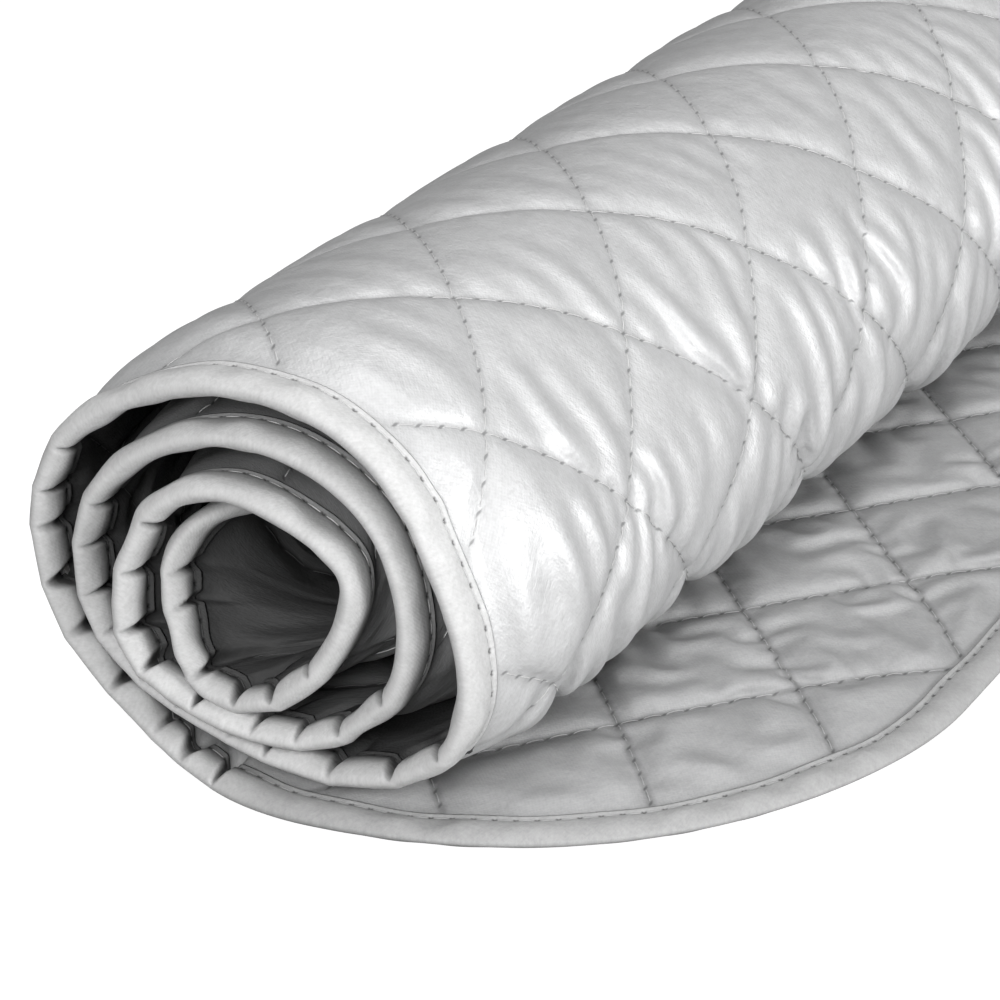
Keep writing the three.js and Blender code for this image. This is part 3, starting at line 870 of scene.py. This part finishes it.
def cloth_material(name, colour, metal, roughness, weave, grain, seam_shade, inside_from, inside):
    """Coated cloth: threads, an uneven, crumpled coating, and painted shade along the seams, in their holes
    and inside the roll."""
    sizes = pad()
    material = bpy.data.materials.new(name)
    nodes = Nodes(material)
    place = nodes.attribute("flat_place")
    s, y, _ = nodes.split(place)
    thread = math.pi / weave
    threads = (s * thread).sine() * (y * thread).sine()
    uneven, crumple = nodes.noise(place, 1100.0, 2.0), nodes.noise(place, 210.0, 4.0)
    blotch = nodes.noise(place, 26.0, 2.0)
    along = (s - LATTICE_S) / sizes.diamond_length
    across = (y - LATTICE_Y) / sizes.diamond_width
    seam_gap, stitch_length = 39.5 * MM, 4.97 * MM
    to_seam = s.maths("MINIMUM", (along + across).off_whole(), (along - across).off_whole()) * seam_gap
    pitch = STITCH_EVERY * sizes.diamond_length / STEPS_PER_DIAMOND
    to_hole = ((s - LATTICE_S) / pitch).off_whole() * stitch_length
    hole = to_seam.below(0.45 * MM, 0.25 * MM) * to_hole.below(0.45 * MM, 0.3 * MM)
    brightness = 0.87 + 0.12 * blotch + grain * (uneven - 0.5) + grain * (crumple - 0.5)
    brightness = brightness + 0.1 * grain * threads
    # Painted shade: darker in the stitch holes and in a narrow band along the seams' valleys
    brightness = brightness * (1 - 0.5 * hole) * (1 - seam_shade * to_seam.below(0.9 * MM, 0.7 * MM))
    # Painted shade inside the roll, from inside_from along the pad on
    brightness = brightness * (1 - inside * (1 - s.below(inside_from, 0.02)))
    height = threads * 0.08 + uneven * 1.3 + crumple * 4.5
    bump = nodes.add("ShaderNodeBump", None, {"Strength": 0.5, "Distance": 0.00016, "Height": height})
    nodes.surface(**{
        "Base Color": nodes.shade(colour, brightness),
        "Metallic": metal,
        "Specular IOR Level": 0.35,
        "Roughness": roughness + 0.12 * (blotch - 0.5) + 0.10 * (crumple - 0.5),
        "Normal": bump,
    })
    return material


def tape_material(colour):
    """A close-woven ribbon with slanted ribs, and painted shade in the holes of its seams, in folds, in the
    roll and on the free end.
    """
    material = bpy.data.materials.new("edge_tape_cloth")
    nodes = Nodes(material)
    place = nodes.attribute("tape_place")
    flat = nodes.attribute("flat_place")
    u, v, shade = nodes.split(place)
    rib = ((u + v) * (math.pi / (0.42 * MM))).sine()
    uneven, crumple = nodes.noise(flat, 1200.0, 3.0), nodes.noise(flat, 330.0, 4.0)
    blotch = nodes.noise(flat, 45.0, 2.0)
    stitches, _, total = edge_sections()
    to_hole = (u * (stitches / total)).off_whole() * (total / stitches)
    across = tape_across()
    seams = across[SEAM_COLUMN], across[-1 - SEAM_COLUMN]
    to_seam = v.maths("MINIMUM", *((v - seam).size() for seam in seams))
    hole = to_hole.below(0.55 * MM, 0.3 * MM) * to_seam.below(0.5 * MM, 0.3 * MM)
    brightness = 0.80 + 0.16 * blotch + 0.36 * (uneven - 0.5) + 0.24 * (crumple - 0.5) + 0.01 * rib
    height = rib * 0.1 + uneven * 1.6 + crumple * 3.0
    bump = nodes.add("ShaderNodeBump", None, {"Strength": 0.5, "Distance": 0.00012, "Height": height})
    # Painted shade: darker in the stitch holes, and by the tape's shade value in folds, in the roll and on
    # the free end
    nodes.surface(**{
        "Base Color": nodes.shade(colour, brightness * (1 - 0.7 * hole) * (1 - 0.86 * shade)),
        "Roughness": 0.66 + 0.12 * (uneven - 0.5),
        "Specular IOR Level": 0.25,
        "Normal": bump,
    })
    return material


def thread_material(name, colour, inside):
    """Twisted sewing thread, with painted shade inside the roll."""
    material = bpy.data.materials.new(name)
    nodes = Nodes(material)
    place = nodes.attribute("flat_place")
    uneven = nodes.noise(place, 900.0, 2.0)
    s = nodes.split(place)[0]
    # Painted shade inside the roll
    brightness = (0.8 + 0.35 * uneven) * (1 - inside * (1 - s.below(0.13, 0.02)))
    nodes.surface(**{
        "Base Color": nodes.shade(colour, brightness),
        "Roughness": 0.55 + 0.1 * (uneven - 0.5),
    })
    return material


def thread_finish(on_lining):
    """The thread on one face, made once."""
    colours = bpy.context.scene.pad_colours
    name, colour, inside = "sewing_thread", colours.thread, 0
    # The lining's thread gets painted shade inside the roll.
    if on_lining:
        name, colour, inside = "lining_thread", colours.lining, 0.85
    return bpy.data.materials.get(name) or thread_material(name, colour, inside)


# Operators


class PAD_OT_outer_cover(bpy.types.Operator):
    """Make the quilted silver cloth that is outside on the roll."""

    bl_idname = "ironing_pad.outer_cover"
    bl_label = "Outer cover"

    def execute(self, context):
        colour = context.scene.pad_colours.cover
        # The cloth's last three values set its painted shade along the seams and inside the roll.
        cloth = cloth_material(
            "silver_cover_cloth", colour, metal=0.25, roughness=0.52, weave=0.42 * MM, grain=0.24,
            seam_shade=0.1, inside_from=0.42, inside=0.65)
        made = add_cover("quilted_cover", 1, cloth)
        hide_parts("outer_cover_roll", "wadding_roll")
        for k in (1, 2, 3):
            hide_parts(f"outer_cover_end_{k}", f"wadding_end_{k}")
        return {"FINISHED"}


class PAD_OT_inner_cover(bpy.types.Operator):
    """Make the quilted lining cloth that is inside the roll and on top of the free end."""

    bl_idname = "ironing_pad.inner_cover"
    bl_label = "Inner cover"

    def execute(self, context):
        colour = context.scene.pad_colours.lining
        # The cloth's last three values set its painted shade along the seams and inside the roll.
        cloth = cloth_material(
            "lining_cloth", colour, metal=0.05, roughness=0.66, weave=0.45 * MM, grain=0.26,
            seam_shade=0.3, inside_from=0.13, inside=0.88)
        made = add_cover("quilted_lining", -1, cloth)
        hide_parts("inner_cover_roll")
        for k in (1, 2, 3):
            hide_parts(f"inner_cover_end_{k}")
        return {"FINISHED"}


class PAD_OT_quilting(bpy.types.Operator):
    """Sew the quilting's stitches on both faces."""

    bl_idname = "ironing_pad.quilting"
    bl_label = "Quilting thread"

    def execute(self, context):
        sizes = context.scene.pad_sizes
        for name, side in (("outer", 1), ("inner", -1)):
            s, y, b = quilting_stitches(side)
            points, faces, places = stitch_mesh(s, y, b, sizes.thread, 0.12 * MM)
            thread = thread_finish(side < 0)
            add_stretches(f"{name}_quilting_thread", points, faces, thread, places)
        return {"FINISHED"}


class PAD_OT_edge_tape(bpy.types.Operator):
    """Fold the tape over the edge all round the pad."""

    bl_idname = "ironing_pad.edge_tape"
    bl_label = "Edge tape"

    def execute(self, context):
        made = add_tape(tape_material(context.scene.pad_colours.tape))
        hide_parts("edge_tape_roll")
        for k in (1, 2):
            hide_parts(f"edge_tape_end_{k}_near", f"edge_tape_end_{k}_far")
        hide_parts("edge_tape_end_3")
        return {"FINISHED"}


class PAD_OT_edge_seams(bpy.types.Operator):
    """Sew the tape down on both faces."""

    bl_idname = "ironing_pad.edge_seams"
    bl_label = "Edge seams"

    def execute(self, context):
        sizes = context.scene.pad_sizes
        for name, side in (("outer", 1), ("inner", -1)):
            s, y, b = seam_stitches(side)
            points, faces, places = stitch_mesh(s, y, b, 1.2 * sizes.thread, 0.14 * MM)
            thread = thread_finish(side < 0)
            made = add_stretches(f"{name}_edge_stitches", points, faces, thread, places)
            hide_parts(f"{name}_seam_roll")
            for k in (1, 2):
                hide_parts(f"{name}_seam_end_{k}_near", f"{name}_seam_end_{k}_far")
            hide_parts(f"{name}_seam_end_3")
        return {"FINISHED"}


def facing(right, up, back, place):
    """The matrix of an object at a place, from the ways that its axes point."""
    return Matrix([*np.stack([right, up, back, place], 1).tolist(), (0, 0, 0, 1)])


def area_lamp(name, place, target, size, power):
    lamp = bpy.data.lights.new(name, "AREA")
    lamp.shape, lamp.size, lamp.size_y, lamp.energy = "RECTANGLE", size[0], size[1], power
    made = bpy.data.objects.new(name, lamp)
    back = unit(np.array(place, float) - np.array(target, float))
    side = unit(np.cross((0, 0, 1), back))
    made.matrix_world = facing(side, np.cross(back, side), back, place)
    bpy.context.collection.objects.link(made)


class PAD_OT_stage(bpy.types.Operator):
    """Set up the floor, the light and the camera."""

    bl_idname = "ironing_pad.stage"
    bl_label = "Stage"

    def execute(self, context):
        scene = context.scene
        scene.view_settings.view_transform = "Standard"
        self.floor(scene)
        self.light(scene)
        self.camera(scene)
        return {"FINISHED"}

    def floor(self, scene):
        mesh = bpy.data.meshes.new("floor")
        corners = [(x * FLOOR_SIZE, y * FLOOR_SIZE, 0) for x, y in ((-1, -1), (1, -1), (1, 1), (-1, 1))]
        mesh.from_pydata(corners, [], [(0, 1, 2, 3)])
        floor = bpy.data.objects.new("floor", mesh)
        scene.collection.objects.link(floor)
        material = bpy.data.materials.new("floor_white")
        nodes = Nodes(material)
        seen = nodes.add("ShaderNodeLightPath", None, (), "Is Camera Ray")
        colour = (*scene.pad_colours.floor, 1.0)
        plain = nodes.add("ShaderNodeBsdfDiffuse", None, {"Color": FLOOR_GREY})
        shaded = nodes.add("ShaderNodeBsdfDiffuse", None, {"Color": SEEN_GREY})
        glow = nodes.add("ShaderNodeEmission", None, {"Color": colour, "Strength": FLOOR_GLOW})
        white = nodes.add("ShaderNodeAddShader", None, [shaded, glow])
        mixed = nodes.add("ShaderNodeMixShader", None, [seen, plain, white])
        nodes.add("ShaderNodeOutputMaterial", None, {"Surface": mixed})
        mesh.materials.append(material)

    def light(self, scene):
        world = bpy.data.worlds.new("studio")
        scene.world = world
        nodes = Nodes(world)
        seen = nodes.add("ShaderNodeLightPath", None, (), "Is Camera Ray")
        dim = nodes.add("ShaderNodeBackground", None, {"Color": (1, 1, 1, 1), "Strength": ROOM_LIGHT})
        white = nodes.add("ShaderNodeBackground", None, {"Color": (1, 1, 1, 1), "Strength": 1.0})
        mixed = nodes.add("ShaderNodeMixShader", None, [seen, dim, white])
        nodes.add("ShaderNodeOutputWorld", None, {"Surface": mixed})
        for lamp in LAMPS:
            area_lamp(*lamp)

    def camera(self, scene):
        turn, tilt = math.radians(CAMERA_TURN), math.radians(CAMERA_TILT)
        right = (math.cos(turn), math.sin(turn), 0)
        back = (math.sin(turn) * math.cos(tilt), -math.cos(turn) * math.cos(tilt), math.sin(tilt))
        up = np.cross(back, right)
        camera = bpy.data.objects.new("camera", bpy.data.cameras.new("camera"))
        camera.matrix_world = facing(right, up, back, CAMERA_PLACE)
        camera.data.lens, camera.data.sensor_width = CAMERA_LENS, 36
        camera.data.clip_start = 0.01
        scene.collection.objects.link(camera)
        scene.camera = camera


class PAD_PT_panel(bpy.types.Panel):
    """The pad's sizes, colours and pieces."""

    bl_idname = "PAD_PT_panel"
    bl_label = "Ironing pad"
    bl_space_type = "VIEW_3D"
    bl_region_type = "UI"
    bl_category = "Ironing pad"

    def draw(self, context):
        for group in (context.scene.pad_sizes, context.scene.pad_colours):
            column = self.layout.column()
            for name in group.__annotations__:
                column.prop(group, name)
        for operator in OPERATORS:
            self.layout.operator(operator.bl_idname)


OPERATORS = (
    PAD_OT_stage, PAD_OT_outer_cover, PAD_OT_inner_cover, PAD_OT_quilting, PAD_OT_edge_tape,
    PAD_OT_edge_seams,
)
CLASSES = (PadSizes, PadColours, *OPERATORS, PAD_PT_panel)


def register():
    for each in CLASSES:
        bpy.utils.register_class(each)
    bpy.types.Scene.pad_sizes = PointerProperty(type=PadSizes)
    bpy.types.Scene.pad_colours = PointerProperty(type=PadColours)


def unregister():
    del bpy.types.Scene.pad_sizes, bpy.types.Scene.pad_colours
    for each in reversed(CLASSES):
        bpy.utils.unregister_class(each)


def main():
    register()
    bpy.ops.ironing_pad.stage()
    bpy.ops.ironing_pad.outer_cover()
    bpy.ops.ironing_pad.inner_cover()
    bpy.ops.ironing_pad.quilting()
    bpy.ops.ironing_pad.edge_tape()
    bpy.ops.ironing_pad.edge_seams()


if __name__ == "__main__":
    main()
